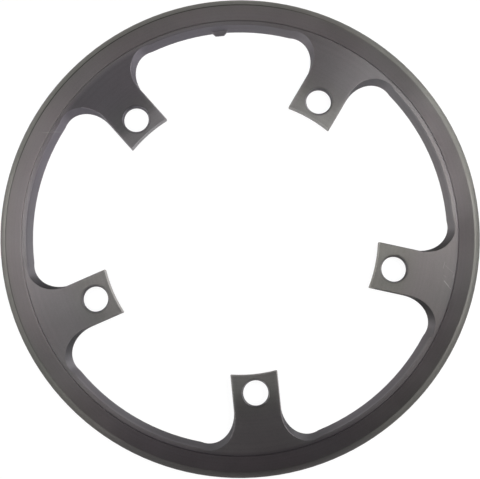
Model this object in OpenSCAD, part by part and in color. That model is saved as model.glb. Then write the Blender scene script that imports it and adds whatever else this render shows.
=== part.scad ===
// Bicycle chainguard ring: a toothless ring that bolts to the five arms of a crank.
// Origin: centre of the ring in the plane of its back face, which rests on the ground.
// +Z points to the outer face, +Y to the alignment nub on the inner edge.

/* [Mounting] */
// Arms of the crank that the ring bolts to
arm_count = 5; // [4:1:6]
// Diameter of the circle through the bolt holes
bolt_circle_d = 130; // [126:0.5:132]
// Diameter of a bolt hole
bolt_hole_d = 10.4; // [8:0.1:11]
// Width of the bevel around a bolt hole, both faces
hole_bevel = 0.5; // [0.2:0.1:0.8]

/* [Tabs] */
// Width of a tab between its straight sides
tab_w = 19.3; // [16:0.1:22]
// Thickness of the tabs and of the ledge that they join
tab_t = 4; // [3:0.1:4.5]
// From the bolt circle in to the end of a tab
tab_reach = 7.7; // [7:0.1:10]
// Radius of the rounded corner between a tab and the ring
fillet_r = 10.4; // [7:0.1:11.5]
// Width of the bevel along the front of a tab end
tab_end_bevel = 0.5; // [0.2:0.1:0.8]

/* [Ring] */
// Outer diameter
outer_d = 198.2; // [196:0.2:206]
// Greatest thickness, at the top of the band
ring_t = 5.8; // [5.4:0.1:7]
// Width of the rounded shoulder outside the band
shoulder_w = 2.6; // [1.5:0.1:3.5]
// Drop of the shoulder from the band to the outer wall
shoulder_drop = 2.2; // [1.2:0.1:3]
// Radius of the shoulder's rounding
shoulder_r = 4.1; // [3.2:0.1:8]
// Width of the dished band
band_w = 5.9; // [4.5:0.1:7]
// Height of the band's foot above the ledge
band_foot = 0.15; // [0.05:0.05:0.6]
// Width of the turned groove at the foot of the band
groove_w = 0.6; // [0.4:0.1:1]
// Depth of the turned groove below the ledge
groove_depth = 0.35; // [0.1:0.05:0.8]
// Width of the flat ledge around the windows
ledge_w = 1.5; // [1:0.1:2.5]
// Width of the sloped window wall, seen from the front
flank_w = 2.5; // [1.5:0.1:3]
// Width of the bevel around the back of the outer wall
back_bevel = 0.5; // [0.2:0.1:1]

/* [Nub] */
// Width of the alignment nub at its tip
nub_w = 3.6; // [2:0.1:6]
// How far the nub stands in from the window's edge
nub_reach = 1.1; // [0.6:0.1:2]
// Thickness of the nub, from the back face
nub_t = 1.5; // [1:0.1:2]

/* [Hidden] */
$fn = 96;
over = 1;

bolt_circle_r = bolt_circle_d / 2;
bolt_hole_r = bolt_hole_d / 2;
tab_end_r = bolt_circle_r - tab_reach;
arm_step = 360 / arm_count;

// Radii of the ring's zones, from the outside in
outer_r = outer_d / 2;
band_out_r = outer_r - shoulder_w;
groove_out_r = band_out_r - band_w;
ledge_out_r = groove_out_r - groove_w;
flank_out_r = ledge_out_r - ledge_w;
window_r = flank_out_r - flank_w;
band_foot_z = tab_t + band_foot;
shoulder_z = ring_t - shoulder_drop;

// Centre of the shoulder's rounding, from its two end points
chord = [shoulder_w, -shoulder_drop];
chord_half = norm(chord) / 2;
to_centre = sqrt(shoulder_r * shoulder_r - chord_half * chord_half);
shoulder_mid = [outer_r - shoulder_w / 2, ring_t - shoulder_drop / 2];
shoulder_c = shoulder_mid + to_centre * [chord[1], -chord[0]] / norm(chord);

// The wall of a window's corner leans outward a little more than the window's outer
// wall, so it runs past that wall towards the front.
flank_slope = flank_w / tab_t;
lean = atan(1.12 * flank_slope);
stretch = 1 / cos(lean);
// At the back it bites this far into the outer wall, to cross it cleanly.
bite = 0.2;
fillet_x = tab_w / 2 + fillet_r;
// Where the corner meets the outer wall: sine and cosine of the angle off the tab
meet_s = fillet_x / (window_r - fillet_r);
meet_c = sqrt(1 - meet_s * meet_s);
meet_reach = sqrt(meet_s * meet_s + stretch * stretch * meet_c * meet_c);
fillet_y = (window_r + bite - fillet_x * meet_s - fillet_r * meet_reach) / meet_c;
window_angle = arm_step - 2 * asin(meet_s);

// Section of the ring and its tabs, turned about the axis
module ring_section() {
    union() {
        polygon([
            [tab_end_r, 0],
            [outer_r - back_bevel, 0],
            [outer_r, back_bevel],
            [outer_r, shoulder_z],
            [band_out_r, ring_t],
            [groove_out_r, band_foot_z],
            [groove_out_r - groove_w / 2, tab_t - groove_depth],
            [ledge_out_r, tab_t],
            [tab_end_r + tab_end_bevel, tab_t],
            [tab_end_r, tab_t - tab_end_bevel]
        ]);
        intersection() {
            polygon([
                [outer_r, shoulder_z],
                [outer_r + shoulder_r, ring_t + shoulder_r],
                [band_out_r, ring_t]
            ]);
            translate(shoulder_c) circle(r = shoulder_r);
        }
    }
}

// Middle of the window that lies over +Y, with its sloped outer wall
module window_middle() {
    inner_r = tab_end_r / 2;
    rotate([0, 0, 90 - window_angle / 2])
        rotate_extrude(angle = window_angle)
            polygon([
                [inner_r, -over],
                [window_r - over * flank_slope, -over],
                [flank_out_r + over * flank_slope, tab_t + over],
                [inner_r, tab_t + over]
            ]);
}

// Cut beside a tab that lies along +Y: its straight right side, then the corner
module tab_side() {
    intersection() {
        translate([0, 0, -over]) cylinder(r = ledge_out_r, h = tab_t + 2 * over);
        translate([fillet_x, fillet_y, 0])
            rotate([-lean, 0, 0])
                linear_extrude(height = 2 * fillet_y, center = true)
                    union() {
                        circle(r = fillet_r);
                        translate([-fillet_r, -fillet_y / 2])
                            square([2 * fillet_r, fillet_y / 2]);
                    }
    }
}

// Bolt hole at the origin, bevelled on both faces
module bolt_hole() {
    translate([0, 0, -over]) cylinder(r = bolt_hole_r, h = tab_t + 2 * over);
    translate([0, 0, -over])
        cylinder(
            r1 = bolt_hole_r + hole_bevel + over,
            r2 = bolt_hole_r,
            h = hole_bevel + over
        );
    translate([0, 0, tab_t - hole_bevel])
        cylinder(
            r1 = bolt_hole_r,
            r2 = bolt_hole_r + hole_bevel + over,
            h = hole_bevel + over
        );
}

// Nub that shows which way round the ring goes, with sides at 45 degrees
module nub() {
    root_y = window_r + flank_w / 2;
    tip_y = window_r - nub_reach;
    half_tip = nub_w / 2;
    half_root = half_tip + root_y - tip_y;
    linear_extrude(height = nub_t)
        polygon([
            [-half_tip, tip_y],
            [half_tip, tip_y],
            [half_root, root_y],
            [-half_root, root_y]
        ]);
}

module chainguard_ring() {
    color("DimGray") {
        difference() {
            rotate_extrude() ring_section();
            for (i = [0 : arm_count - 1]) {
                rotate([0, 0, i * arm_step]) window_middle();
                rotate([0, 0, (i + 0.5) * arm_step]) {
                    tab_side();
                    mirror([1, 0, 0]) tab_side();
                    translate([0, bolt_circle_r, 0]) bolt_hole();
                }
            }
        }
        nub();
    }
}

chainguard_ring();
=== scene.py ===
"""Bicycle chainguard ring in satin anodised aluminium, turned finish, seen from the front."""
import math

import bmesh
import bpy
from mathutils import Matrix, Vector


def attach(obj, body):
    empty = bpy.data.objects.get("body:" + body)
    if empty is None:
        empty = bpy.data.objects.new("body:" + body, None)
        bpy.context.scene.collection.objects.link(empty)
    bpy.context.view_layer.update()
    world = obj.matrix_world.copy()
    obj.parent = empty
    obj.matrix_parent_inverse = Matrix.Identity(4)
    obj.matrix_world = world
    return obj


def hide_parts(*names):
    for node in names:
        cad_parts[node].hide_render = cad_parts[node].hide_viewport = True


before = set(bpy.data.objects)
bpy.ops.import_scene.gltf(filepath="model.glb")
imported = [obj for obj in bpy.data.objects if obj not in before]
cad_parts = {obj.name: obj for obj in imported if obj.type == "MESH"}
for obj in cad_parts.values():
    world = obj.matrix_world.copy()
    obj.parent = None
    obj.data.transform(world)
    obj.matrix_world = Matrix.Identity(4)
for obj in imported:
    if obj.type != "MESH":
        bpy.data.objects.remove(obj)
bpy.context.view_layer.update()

# Radii in metres, as in the part's own section
BOLT_CIRCLE_R = 0.0650
HOLE_R = 0.0052
HOLE_BEVEL_R = 0.0058
FLANK_OUT_R = 0.0885
LEDGE_OUT_R = 0.0900
GROOVE_OUT_R = 0.0906
BAND_OUT_R = 0.0965

# Radii between which a tone holds, where they aren't the zones' own
LEDGE_TONE_R = 0.0880
WALL_IN_R, WALL_OUT_R = 0.0595, 0.0902
NECK_IN_R, NECK_OUT_R = 0.0635, 0.0890
BAND_TONE_IN_R, BAND_TONE_OUT_R = 0.0902, 0.0964
CREST_IN_R, CREST_OUT_R = 0.0963, 0.0969

# One tab's direction in the ring's frame, and half the angle between two tabs
TAB_ANGLE = math.radians(54.0)
HALF_PITCH = math.radians(36.0)

# How far the ring is turned in the photograph, and the azimuth there of its upper left tab, in
# degrees
ROLL = 5.72448
UPPER_LEFT_TAB = 126.0 + ROLL

# Broken edges: their width on the tabs, the share of it on the ring, the bend from which an edge
# is broken, the bend from which shading shows it, and how near points of the CAD mesh are one
EDGE_BREAK = 0.00035
RING_EDGE_SHARE = 0.4
EDGE_ANGLE = math.radians(62.0)
SMOOTH_ANGLE = math.radians(30.0)
WELD = 0.000002

# Base colours by zone, linear, and the radii between which each holds
TAB_END = (0.118, 0.116, 0.112)
NECK = (0.122, 0.115, 0.118)
BAND_IN = (0.115, 0.106, 0.109)
BAND_OUT = (0.113, 0.106, 0.106)
SHOULDER = (0.145, 0.143, 0.134)
RIM = (0.139, 0.138, 0.130)
ZONES = (
    (0.0573, TAB_END), (0.0670, TAB_END), (0.0760, NECK), (0.0899, NECK),
    (0.0907, BAND_IN), (0.0930, BAND_IN), (0.0962, BAND_OUT), (0.0967, SHOULDER), (0.0991, RIM),
)
ZONES_FROM, ZONES_TO = 0.056, 0.100

# Colours that lie over the zones, linear
WALL = (0.143, 0.137, 0.146, 1.0)
# Black, for the painted shade of the corner walls, the bottom's walls and the holes
BLACK = (0.0, 0.0, 0.0, 1.0)
# Colour of the painted shade in the groove and along the band's outer edge
GROOVE_SHADE = (0.020, 0.019, 0.020, 1.0)
SCRATCHED = (0.30, 0.29, 0.285, 1.0)
# Lighter colour of the edges: wear, and a painted edge highlight
WORN_AND_HIGHLIGHT = (0.24, 0.235, 0.235, 1.0)

# Hue shifts, as factors: of the tabs, the upper left one, the right one, the ring, its bottom,
# which also holds painted shade, and of patches all over
TAB_SHIFT = (1.0, 1.0, 0.995, 1.0)
COOL_SHIFT = (0.995, 0.985, 1.040, 1.0)
WARM_SHIFT = (1.0, 1.0, 0.960, 1.0)
RING_SHIFT = (1.0, 1.0, 0.985, 1.0)
BOTTOM_SHADE_SHIFT = (0.87, 0.84, 0.88, 1.0)
PATCH_SHIFT = (1.045, 0.985, 1.0, 1.0)

# Finish
ROUGHNESS = 0.42
METALLIC = 0.7
ANISOTROPY = 0.78
GRAZING_TINT = (0.35, 0.35, 0.35, 1.0)

# The floor: paper as other light sees it, and as the camera and the metal see it, with a glow
PAPER = (0.86, 0.86, 0.86, 1.0)
PAPER_SEEN = (0.10, 0.10, 0.10, 1.0)
GLOW_SEEN = 0.93

# Light scratches on the right tab's neck: start, end and strength
SCRATCHES = (
    ((0.08289, -0.01938), (0.08200, -0.02174), 0.25),
    ((0.08298, -0.02080), (0.08599, -0.02421), 0.16),
    ((0.08592, -0.02487), (0.08547, -0.02623), 0.25),
    ((0.08178, -0.02702), (0.08333, -0.02941), 0.60),
    ((0.08330, -0.02966), (0.08412, -0.03053), 0.22),
    ((0.08190, -0.02484), (0.08270, -0.02546), 0.18),
)

# Lamps that light the whole ring: name, azimuth, elevation, watts
WIDE_DISTANCE, WIDE_SIZE = 0.80, 0.45
WIDE = (
    ("right_high", 0, 45, 2.667),
    ("right_upper", 30, 20, 1.46),
    ("left", 180, 20, 0.903),
    ("left_lower", 210, 45, 1.838),
    ("lower_left", 240, 45, 0.672),
    ("right_lower", 330, 45, 1.281),
)
# Small ones close to the ring, each moved outwards and aimed at its own side of it
CLOSE_DISTANCE, CLOSE_SIZE, CLOSE_OUTWARDS, CLOSE_SPREAD = 0.30, 0.12, 0.088, 60.0
CLOSE = (
    ("close_right", 15, 60, 0.042),
    ("close_upper_right", 45, 60, 0.04725),
    ("close_top", 105, 75, 0.01155),
    ("close_left", 170, 60, 0.06405),
)

# The camera, found from the bolt holes, the outer edge and the windows: its tilts in degrees, its
# distance and offset in metres, and the photograph's scale at that distance
TILT_Y, TILT_X = -0.16929, -4.63066
CAMERA_DISTANCE = 0.550
CAMERA_OFFSET = (-0.0000229, -0.00130055)
PIXELS_PER_METRE = 2403.44407
IMAGE_WIDTH = 480.0
SENSOR_WIDTH = 36.0


def heading(azimuth):
    """Direction in the ring's frame of an azimuth of the photograph, from its right."""
    angle = math.radians(azimuth - ROLL)
    return math.cos(angle), math.sin(angle), 0.0


# ---------------------------------------------------------------- node helpers
class Tree:
    """Short helpers to write a shader tree as formulas."""

    def __init__(self, material):
        material.use_nodes = True
        self.nodes = material.node_tree.nodes
        self.links = material.node_tree.links
        self.nodes.clear()

    def add(self, kind, **settings):
        node = self.nodes.new(kind)
        for key, value in settings.items():
            setattr(node, key, value)
        return node

    def put(self, socket, value):
        if isinstance(value, bpy.types.NodeSocket):
            self.links.new(value, socket)
        else:
            socket.default_value = value

    def math(self, operation, *values, clamp=False):
        node = self.add("ShaderNodeMath", operation=operation, use_clamp=clamp)
        for socket, value in zip(node.inputs, values):
            self.put(socket, value)
        return node.outputs[0]

    def chain(self, operation, first, *rest):
        for value in rest:
            first = self.math(operation, first, value)
        return first

    def product(self, *values):
        return self.chain("MULTIPLY", *values)

    def total(self, *values):
        return self.chain("ADD", *values)

    def highest(self, *values):
        return self.chain("MAXIMUM", *values)

    def vmath(self, operation, *values):
        node = self.add("ShaderNodeVectorMath", operation=operation)
        for socket, value in zip(node.inputs, values):
            self.put(socket, value)
        number = operation in ("LENGTH", "DOT_PRODUCT")
        return node.outputs["Value"] if number else node.outputs[0]

    def split(self, vector):
        node = self.add("ShaderNodeSeparateXYZ")
        self.put(node.inputs[0], vector)
        return tuple(node.outputs)

    def join(self, x, y, z):
        node = self.add("ShaderNodeCombineXYZ")
        for socket, value in zip(node.inputs, (x, y, z)):
            self.put(socket, value)
        return node.outputs[0]

    def span(self, value, low, high, to_low=0.0, to_high=1.0, smooth=True):
        """Map low..high to to_low..to_high, clamped, with soft ends unless smooth is False."""
        kind = "SMOOTHSTEP" if smooth else "LINEAR"
        node = self.add("ShaderNodeMapRange", interpolation_type=kind, clamp=True)
        for socket, v in zip(node.inputs, (value, low, high, to_low, to_high)):
            self.put(socket, v)
        return node.outputs[0]

    def band(self, value, low, high, soft):
        """1 where value lies between low and high, with soft edges."""
        rise = self.span(value, low - soft, low + soft)
        return self.product(rise, self.span(value, high - soft, high + soft, 1.0, 0.0))

    def mix(self, factor, a, b, blend="MIX"):
        node = self.add("ShaderNodeMix", data_type="RGBA", blend_type=blend)
        self.put(node.inputs["Factor"], factor)
        for name, value in (("A", a), ("B", b)):
            socket = [s for s in node.inputs if s.name == name and s.type == "RGBA"][0]
            self.put(socket, value)
        return [s for s in node.outputs if s.type == "RGBA"][0]

    def tint(self, colour, factors):
        return self.mix(1.0, colour, factors, "MULTIPLY")

    def scale(self, colour, factor):
        return self.tint(colour, self.join(factor, factor, factor))

    def noise(self, vector, scale, detail=2.0, roughness=0.5, distortion=0.0):
        node = self.add("ShaderNodeTexNoise")
        self.put(node.inputs["Vector"], vector)
        node.inputs["Scale"].default_value = scale
        node.inputs["Detail"].default_value = detail
        node.inputs["Roughness"].default_value = roughness
        node.inputs["Distortion"].default_value = distortion
        return node.outputs["Fac"]


class Spot:
    """Where the shaded point lies on the ring, and which way it faces."""

    def __init__(self, t):
        self.t = t
        self.place = t.add("ShaderNodeTexCoord").outputs["Object"]
        self.x, self.y, self.z = t.split(self.place)
        flat = t.join(self.x, self.y, 0.0)
        self.flat = flat
        self.radius = t.vmath("LENGTH", flat)
        self.outward = t.vmath("NORMALIZE", flat)
        geometry = t.add("ShaderNodeNewGeometry")
        self.normal = geometry.outputs["Normal"]
        self.up = t.split(geometry.outputs["True Normal"])[2]
        self.front = t.span(self.up, 0.75, 0.90)
        self.level = t.span(self.up, 0.985, 0.998)
        self.off_tab, self.from_hole = self.around()
        self.to_right = self.towards(0.0)
        self.to_top = self.towards(90.0)
        self.sideways = t.product(self.to_right, self.to_right)

    def around(self):
        """Angle off the nearest tab's middle, and distance from that tab's hole."""
        t, radius = self.t, self.radius
        angle = t.math("ARCTAN2", self.y, self.x)
        wrapped = t.math("WRAP", angle, TAB_ANGLE + HALF_PITCH, TAB_ANGLE - HALF_PITCH)
        off = t.math("SUBTRACT", wrapped, TAB_ANGLE)
        squares = t.math("MULTIPLY_ADD", radius, radius, BOLT_CIRCLE_R ** 2)
        cross = t.product(radius, 2.0 * BOLT_CIRCLE_R, t.math("COSINE", off))
        distance = t.math("SQRT", t.highest(t.math("SUBTRACT", squares, cross), 0.0))
        return t.math("ABSOLUTE", off), distance

    def towards(self, azimuth):
        """1 on the side of the ring that lies at an azimuth of the photograph, -1 opposite."""
        return self.t.vmath("DOT_PRODUCT", self.outward, heading(azimuth))

    def lobe(self, azimuth, half_width, peak):
        """peak towards an azimuth, falling to 0 at half_width degrees on either side."""
        edge, top = math.radians(half_width), math.radians(0.3 * half_width)
        return self.t.span(self.towards(azimuth), math.cos(edge), math.cos(top), 0.0, peak)

    def past_tab(self, low, high):
        """0 up to low degrees off the nearest tab's middle, 1 from high degrees on."""
        return self.t.span(self.off_tab, math.radians(low), math.radians(high))


# ---------------------------------------------------------------- the ring's material
def zone_colour(t, spot):
    """Base colour by zone, from the tab ends outwards."""
    ramp = t.add("ShaderNodeValToRGB")
    ramp.color_ramp.interpolation = "LINEAR"
    marks = ramp.color_ramp.elements
    while len(marks) < len(ZONES):
        marks.new(0.5)
    for mark, (radius, _) in zip(marks, ZONES):
        mark.position = (radius - ZONES_FROM) / (ZONES_TO - ZONES_FROM)
    for mark, (_, colour) in zip(marks, ZONES):
        mark.color = (*colour, 1.0)
    t.put(ramp.inputs[0], t.span(spot.radius, ZONES_FROM, ZONES_TO, 0.0, 1.0, False))
    return ramp.outputs[0]


def painted_shade(t, spot, wall):
    """Painted shade: how much darker the left and right corner walls, the bottom's walls and the
    holes are painted.
    """
    corner = t.span(spot.off_tab, math.radians(7.5), math.radians(15.5), 1.0, 0.0)
    both_sides = t.span(spot.sideways, 0.45, 0.85, 0.0, 0.78)
    right_side = t.span(spot.to_right, 0.50, 0.70, 0.0, 0.45)
    clear_of_hole = t.span(spot.from_hole, 0.0065, 0.0075)
    corner = t.product(corner, wall, clear_of_hole, t.highest(both_sides, right_side))
    bottom = t.product(wall, t.span(spot.to_top, -0.85, -0.96, 0.0, 0.30))
    hole = t.span(spot.from_hole, HOLE_R + 0.00002, HOLE_R + 0.00012, 0.28, 0.0)
    rim = t.span(spot.from_hole, HOLE_BEVEL_R, HOLE_BEVEL_R + 0.0006, 0.28, 0.0)
    return t.highest(corner, bottom, hole, rim)


def painted_light_and_shade(t, spot):
    """How much lighter or darker each place is painted, as a factor about 1: painted light and
    shade by side of the ring.
    """
    radius = spot.radius
    upper_left = spot.towards(125.0)
    on_ledge = t.band(radius, LEDGE_TONE_R, LEDGE_OUT_R, 0.0002)

    # Painted light and shade: the ring is painted lighter towards the upper left and darker
    # opposite, its shoulder lighter most of all
    painted_side_tone = t.product(t.span(radius, LEDGE_TONE_R, LEDGE_OUT_R),
                       t.span(upper_left, -1.0, 1.0, -0.15, 0.15, False))
    painted_shoulder_light = t.product(t.span(radius, BAND_OUT_R, BAND_OUT_R + 0.0008),
                       t.span(upper_left, 0.50, 0.92, 0.0, 0.24))

    # Painted light: the groove's sides and the tab ends' bevels are painted lighter at the left
    # and right
    sides = t.product(spot.sideways, t.span(upper_left, -0.2, 0.3, 0.15, 0.45),
                      t.band(radius, LEDGE_OUT_R, GROOVE_OUT_R + 0.0001, 0.0001))
    ends = t.product(t.span(radius, 0.0585, 0.0600, 1.0, 0.0),
                     t.span(spot.up, 0.75, 0.97, 0.7, 0.0),
                     t.math("MULTIPLY_ADD", spot.sideways, 1.4, 0.2))

    # Painted shade: the upper left tab's neck is painted darker, and so are the ledge and shoulder
    # at the lower left
    neck = t.product(t.band(radius, NECK_IN_R, NECK_OUT_R, 0.002),
                     t.span(spot.towards(UPPER_LEFT_TAB), 0.80, 0.98, 0.0, -0.24), spot.level)
    left_ledge = t.product(on_ledge, t.span(spot.to_right, -0.97, -0.80, 1.0, 0.0),
                           spot.past_tab(13.0, 16.0))
    painted_lower_left_shade = t.product(t.total(left_ledge, t.span(radius, BAND_OUT_R, BAND_OUT_R + 0.0004)),
                       t.span(spot.towards(215.0), 0.2, 0.9, 0.0, -0.18))

    # Painted light: between the tabs the ledge is painted lighter, except at the top and far left
    bright = t.product(on_ledge, spot.past_tab(15.0, 19.0), t.span(spot.to_top, 0.75, 0.45),
                       t.span(spot.to_right, -0.95, -0.85, 0.0, 0.18))

    # Painted shade and highlights: the crest is painted darker in the lower half, and the band
    # lighter at the right and top and darker at the upper right
    crest = t.product(t.band(radius, CREST_IN_R, CREST_OUT_R, 0.0002),
                      t.span(spot.to_top, 0.3, 0.0, 0.0, -0.10))
    painted_band_light_and_shade = t.product(t.total(spot.lobe(22.0, 20.0, 0.24), spot.lobe(54.0, 18.0, -0.17),
                               spot.lobe(95.0, 26.0, 0.22)),
                       t.band(radius, BAND_TONE_IN_R, BAND_TONE_OUT_R, 0.0004))
    return t.total(1.0, painted_side_tone, painted_shoulder_light, sides, ends, neck, painted_lower_left_shade, bright, crest, painted_band_light_and_shade)


def hue_and_painted_shade(t, spot):
    """Cooler on the upper left tab, warmer on the right one, and painted shade darker and cooler
    at the bottom.
    """
    shift = t.mix(t.span(spot.towards(UPPER_LEFT_TAB), 0.5, 1.0), TAB_SHIFT, COOL_SHIFT)
    shift = t.mix(t.span(spot.to_right, 0.6, 0.95), shift, WARM_SHIFT)
    ring_shift = t.mix(t.span(spot.to_top, -0.72, -0.93), RING_SHIFT, BOTTOM_SHADE_SHIFT)
    return t.mix(t.span(spot.radius, FLANK_OUT_R, LEDGE_OUT_R), shift, ring_shift)


def painted_light_tabs(t, spot):
    """Painted highlights: the tab ends, and a strip along the tabs' sides, are painted lighter,
    least at the left and right, as a factor.
    """
    tips = t.product(t.span(spot.radius, 0.0590, 0.0720, 1.0, 0.0),
                     t.math("MULTIPLY_ADD", spot.sideways, -0.75, 0.80))
    off_middle = t.product(spot.radius, t.math("SINE", spot.off_tab))
    strips = t.product(t.span(off_middle, 0.0074, 0.0097),
                       t.span(spot.radius, 0.0700, 0.0780, 1.0, 0.0),
                       t.math("MULTIPLY_ADD", spot.sideways, -0.30, 0.32))
    return t.total(1.0, tips, strips)


def painted_line_shade(t, spot):
    """Painted shade in the turned groove, less at the left and right, and a fine painted shaded
    line between the band and the shoulder, darkest towards the upper left.
    """
    groove = t.product(t.band(spot.radius, LEDGE_OUT_R + 0.00010, GROOVE_OUT_R - 0.00005, 0.0001),
                       spot.front, t.math("MULTIPLY_ADD", spot.sideways, -0.50, 0.50))
    line = t.product(t.band(spot.radius, BAND_OUT_R - 0.00010, BAND_OUT_R + 0.00030, 0.00008),
                     t.span(spot.up, 0.0, 0.3),
                     t.span(spot.towards(140.7), 0.0, 0.7, 0.10, 0.75))
    return t.highest(groove, line)


def fine_rubs(t, spot):
    """Thin stretched noise in a few patches."""
    def strokes(turn, scale, cut):
        mapping = t.add("ShaderNodeMapping")
        t.put(mapping.inputs["Vector"], spot.place)
        mapping.inputs["Rotation"].default_value = (0.0, 0.0, turn)
        mapping.inputs["Scale"].default_value = (28.0, 900.0, 28.0)
        return t.span(t.noise(mapping.outputs[0], scale, 1.0, 0.5, 0.25), cut, cut + 0.05)

    patches = t.span(t.noise(spot.place, 24.0, 2.0), 0.45, 0.62)
    return t.product(t.highest(strokes(0.35, 1.0, 0.76), strokes(-0.8, 1.3, 0.78)), patches)


def scratch(t, spot, start, end, strength):
    """One straight scratch on the tabs' and the ledge's level face."""
    way = (end[0] - start[0], end[1] - start[1], 0.0)
    offset = t.vmath("SUBTRACT", spot.flat, (*start, 0.0))
    along = t.vmath("DOT_PRODUCT", offset, way)
    share = t.math("DIVIDE", along, way[0] ** 2 + way[1] ** 2, clamp=True)
    nearest = t.vmath("MULTIPLY", way, t.join(share, share, share))
    gap = t.vmath("LENGTH", t.vmath("SUBTRACT", offset, nearest))
    return t.product(t.span(gap, 0.00002, 0.00026, strength, 0.0), spot.level)


def anodised():
    """Turned, anodised aluminium, toned and with wear as on the ring in the photograph, and
    painted with light and shade.
    """
    material = bpy.data.materials.new("anodised_turned")
    t = Tree(material)
    spot = Spot(t)

    # The lathe's fine rings: noise read along the radius, drifting a little round the ring
    slow = t.join(t.product(spot.x, 6.0), t.product(spot.y, 6.0), 0.0)
    drift = t.product(t.noise(slow, 1.0, 1.0), 0.05)
    along = t.math("MULTIPLY_ADD", spot.radius, 1000.0, drift)
    rings = t.noise(t.join(along, spot.z, 0.0), 5.5, 2.0, 0.6)
    rings_wide = t.noise(t.join(along, 7.0, 0.0), 0.9, 1.0)

    # The etched grain of the anodising, cloudy patches, and a slow change of hue
    grain = t.noise(spot.place, 2600.0, 3.0, 0.6)
    cloud = t.noise(spot.place, 55.0, 3.0, 0.55)
    hue = t.noise(spot.place, 38.0, 2.0, 0.5)

    wall = t.product(t.span(spot.up, 0.60, 0.95, 1.0, 0.0),
                     t.band(spot.radius, WALL_IN_R, WALL_OUT_R, 0.0002))
    colour = t.mix(wall, zone_colour(t, spot), WALL)
    # Painted shade: the corner walls, the bottom's walls and the holes are mixed towards black
    colour = t.mix(painted_shade(t, spot, wall), colour, BLACK)
    # Painted light and shade by side of the ring
    colour = t.scale(colour, painted_light_and_shade(t, spot))
    # Hue shifts, with painted shade at the bottom
    colour = t.tint(colour, hue_and_painted_shade(t, spot))
    # Painted highlights on the tab ends and along the tabs' sides
    colour = t.scale(colour, painted_light_tabs(t, spot))
    colour = t.mix(t.span(hue, 0.35, 0.65, 0.0, 0.5), colour, t.tint(colour, PATCH_SHIFT))

    # Grain, rings and patches lighten and darken it a little
    shade = t.total(1.0, t.product(t.span(rings, 0.3, 0.7, -0.06, 0.06, False), spot.level),
                    t.span(grain, 0.25, 0.75, -0.09, 0.09, False),
                    t.span(rings_wide, 0.3, 0.7, -0.03, 0.03, False),
                    t.span(cloud, 0.3, 0.7, -0.05, 0.05, False))
    colour = t.scale(colour, shade)

    # Painted shade in the groove and along the band's outer edge
    colour = t.mix(painted_line_shade(t, spot), colour, GROOVE_SHADE)
    rubs = fine_rubs(t, spot)
    colour = t.mix(t.product(rubs, 0.45), colour, SCRATCHED)
    for start, end, strength in SCRATCHES:
        colour = t.mix(scratch(t, spot, start, end, strength), colour, SCRATCHED)

    # Softened edges, wider on the tabs than on the ring, painted lighter: wear, and a painted edge
    # highlight
    bevel = t.add("ShaderNodeBevel", samples=8)
    t.put(bevel.inputs["Radius"], t.span(spot.radius, 0.0800, 0.0870, 0.00045, 0.00008))
    bend = t.vmath("DOT_PRODUCT", bevel.outputs[0], spot.normal)
    worn_edge_and_highlight = t.product(t.span(bend, 0.90, 0.995, 1.0, 0.0),
                     t.span(spot.radius, 0.0890, 0.0900, 1.0, 0.3),
                     t.span(t.noise(spot.place, 420.0, 2.0), 0.35, 0.65, 0.35, 1.0))
    colour = t.mix(t.product(worn_edge_and_highlight, 0.30), colour, WORN_AND_HIGHLIGHT)

    # Bump: rings on the turned faces, grain everywhere, rubs cut in
    height = t.total(t.product(rings, spot.front, 0.9), t.product(grain, 0.5),
                     t.product(rubs, -0.6))
    bump = t.add("ShaderNodeBump")
    bump.inputs["Strength"].default_value = 0.18
    bump.inputs["Distance"].default_value = 0.00005
    t.put(bump.inputs["Height"], height)
    t.put(bump.inputs["Normal"], bevel.outputs[0])

    shader = t.add("ShaderNodeBsdfPrincipled")
    t.put(shader.inputs["Base Color"], colour)
    t.put(shader.inputs["Normal"], bump.outputs[0])
    shader.inputs["Metallic"].default_value = METALLIC
    shader.inputs["IOR"].default_value = 1.5
    shader.inputs["Specular Tint"].default_value = GRAZING_TINT
    shader.inputs["Anisotropic"].default_value = ANISOTROPY
    shader.inputs["Anisotropic Rotation"].default_value = 0.25
    rough = t.total(ROUGHNESS, t.span(grain, 0.3, 0.7, -0.05, 0.05, False),
                    t.span(cloud, 0.3, 0.7, -0.03, 0.03, False), t.product(worn_edge_and_highlight, -0.06))
    t.put(shader.inputs["Roughness"], rough)
    tangent = t.add("ShaderNodeTangent", direction_type="RADIAL", axis="Z")
    t.put(shader.inputs["Tangent"], tangent.outputs[0])
    out = t.add("ShaderNodeOutputMaterial")
    t.links.new(shader.outputs[0], out.inputs["Surface"])
    return material


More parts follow.
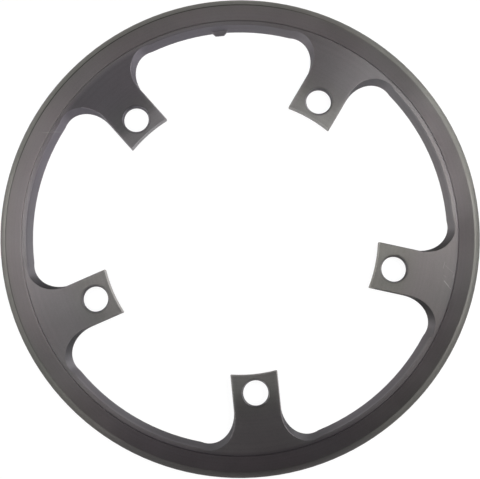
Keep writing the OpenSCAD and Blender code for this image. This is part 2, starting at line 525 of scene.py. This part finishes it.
# ---------------------------------------------------------------- the ring
def softened(node, name):
    """A copy of the CAD node's mesh with its sharp edges broken, more on the tabs."""
    work = bmesh.new()
    work.from_mesh(node.data)
    bmesh.ops.transform(work, matrix=node.matrix_world, verts=work.verts)
    bmesh.ops.remove_doubles(work, verts=work.verts, dist=WELD)
    points = [tuple(v.co) for v in work.verts]
    faces = [tuple(v.index for v in f.verts) for f in work.faces]
    weights = {}
    for edge in work.edges:
        if len(edge.link_faces) == 2 and edge.calc_face_angle(0.0) > EDGE_ANGLE:
            a, b = edge.verts
            on_tab = ((a.co + b.co) / 2.0).xy.length < FLANK_OUT_R
            weights[frozenset((a.index, b.index))] = 1.0 if on_tab else RING_EDGE_SHARE
    work.free()

    mesh = bpy.data.meshes.new(name)
    mesh.from_pydata(points, [], faces)
    mesh.polygons.foreach_set("use_smooth", [True] * len(mesh.polygons))
    mesh.set_sharp_from_angle(angle=SMOOTH_ANGLE)
    layer = mesh.attributes.new("bevel_weight_edge", "FLOAT", "EDGE")
    layer.data.foreach_set("value", [weights.get(frozenset(e.vertices), 0.0) for e in mesh.edges])
    piece = bpy.data.objects.new(name, mesh)
    bpy.context.scene.collection.objects.link(piece)
    edges = piece.modifiers.new("edges", "BEVEL")
    edges.width = EDGE_BREAK
    edges.segments = 2
    edges.limit_method = "WEIGHT"
    edges.use_clamp_overlap = False
    edges.harden_normals = True
    return piece


ring = softened(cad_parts["chainguard_ring"], "chainguard_ring_softened")
ring.data.materials.append(anodised())
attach(ring, "root")
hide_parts("chainguard_ring")


# ---------------------------------------------------------------- floor and world
def white_paper():
    """White where the camera or the metal looks at it, with its soft shadow; else pale paper."""
    material = bpy.data.materials.new("pale_floor")
    t = Tree(material)
    path = t.add("ShaderNodeLightPath").outputs
    seen = t.total(path["Is Camera Ray"], path["Is Glossy Ray"])
    seen = t.math("ADD", seen, path["Is Transmission Ray"], clamp=True)
    paper = t.add("ShaderNodeBsdfDiffuse")
    t.put(paper.inputs["Color"], t.mix(seen, PAPER, PAPER_SEEN))
    glow = t.add("ShaderNodeEmission")
    t.put(glow.inputs["Strength"], t.product(seen, GLOW_SEEN))
    both = t.add("ShaderNodeAddShader")
    t.links.new(paper.outputs[0], both.inputs[0])
    t.links.new(glow.outputs[0], both.inputs[1])
    out = t.add("ShaderNodeOutputMaterial")
    t.links.new(both.outputs[0], out.inputs["Surface"])
    return material


def pale_floor(reach=3.0, wall_height=0.8, steps=96, below=0.0002):
    """Round floor just below the ring, with a low wall far behind, in one sheet."""
    points = [(0.0, 0.0, 0.0)]
    for height in (0.0, wall_height):
        for i in range(steps):
            angle = 2.0 * math.pi * i / steps
            points.append((reach * math.cos(angle), reach * math.sin(angle), height))
    faces = []
    for i in range(steps):
        a, b = 1 + i, 1 + (i + 1) % steps
        faces.append((0, a, b))
        faces.append((a, a + steps, b + steps, b))
    mesh = bpy.data.meshes.new("floor")
    mesh.from_pydata(points, [], faces)
    mesh.materials.append(white_paper())
    floor = bpy.data.objects.new("floor", mesh)
    floor.location.z = -below
    bpy.context.scene.collection.objects.link(floor)


pale_floor()

# The lamps and the floor give all the light
world = bpy.data.worlds.new("studio")
world.use_nodes = True
world.node_tree.nodes["Background"].inputs["Strength"].default_value = 0.0
bpy.context.scene.world = world


# ---------------------------------------------------------------- lamps
def softbox(name, azimuth, elevation, distance, size, watts, outwards=0.0, spread=180.0):
    """Square lamp aimed at the ring's centre, or at a point outwards of it on the lamp's side."""
    rise = math.radians(elevation)
    side = Vector(heading(azimuth))
    back = side * math.cos(rise) + Vector((0.0, 0.0, math.sin(rise)))
    light = bpy.data.lights.new(name, "AREA")
    light.shape = "SQUARE"
    light.size = size
    light.energy = watts
    light.spread = math.radians(spread)
    lamp = bpy.data.objects.new(name, light)
    lamp.location = back * distance + side * outwards
    lamp.rotation_euler = (-back).to_track_quat("-Z", "Y").to_euler()
    bpy.context.scene.collection.objects.link(lamp)


for name, azimuth, elevation, watts in WIDE:
    softbox(name, azimuth, elevation, WIDE_DISTANCE, WIDE_SIZE, watts)
for name, azimuth, elevation, watts in CLOSE:
    softbox(name, azimuth, elevation, CLOSE_DISTANCE, CLOSE_SIZE, watts,
            CLOSE_OUTWARDS, CLOSE_SPREAD)


# ---------------------------------------------------------------- camera
def turn(axis, degrees):
    return Matrix.Rotation(math.radians(degrees), 3, axis)


# The rotation from the ring's frame to the camera's
view = turn("Y", TILT_Y) @ turn("X", TILT_X) @ turn("Z", ROLL)
to_ring = view.transposed()
camera_data = bpy.data.cameras.new("camera")
camera_data.sensor_fit = "HORIZONTAL"
camera_data.sensor_width = SENSOR_WIDTH
camera_data.lens = SENSOR_WIDTH * PIXELS_PER_METRE * CAMERA_DISTANCE / IMAGE_WIDTH
camera_data.clip_start, camera_data.clip_end = 0.01, 20.0
camera = bpy.data.objects.new("camera", camera_data)
camera_place = to_ring @ Vector((*CAMERA_OFFSET, CAMERA_DISTANCE))
camera.matrix_world = Matrix.Translation(camera_place) @ to_ring.to_4x4()
bpy.context.scene.collection.objects.link(camera)
bpy.context.scene.camera = camera

bpy.context.scene.view_settings.view_transform = "Standard"
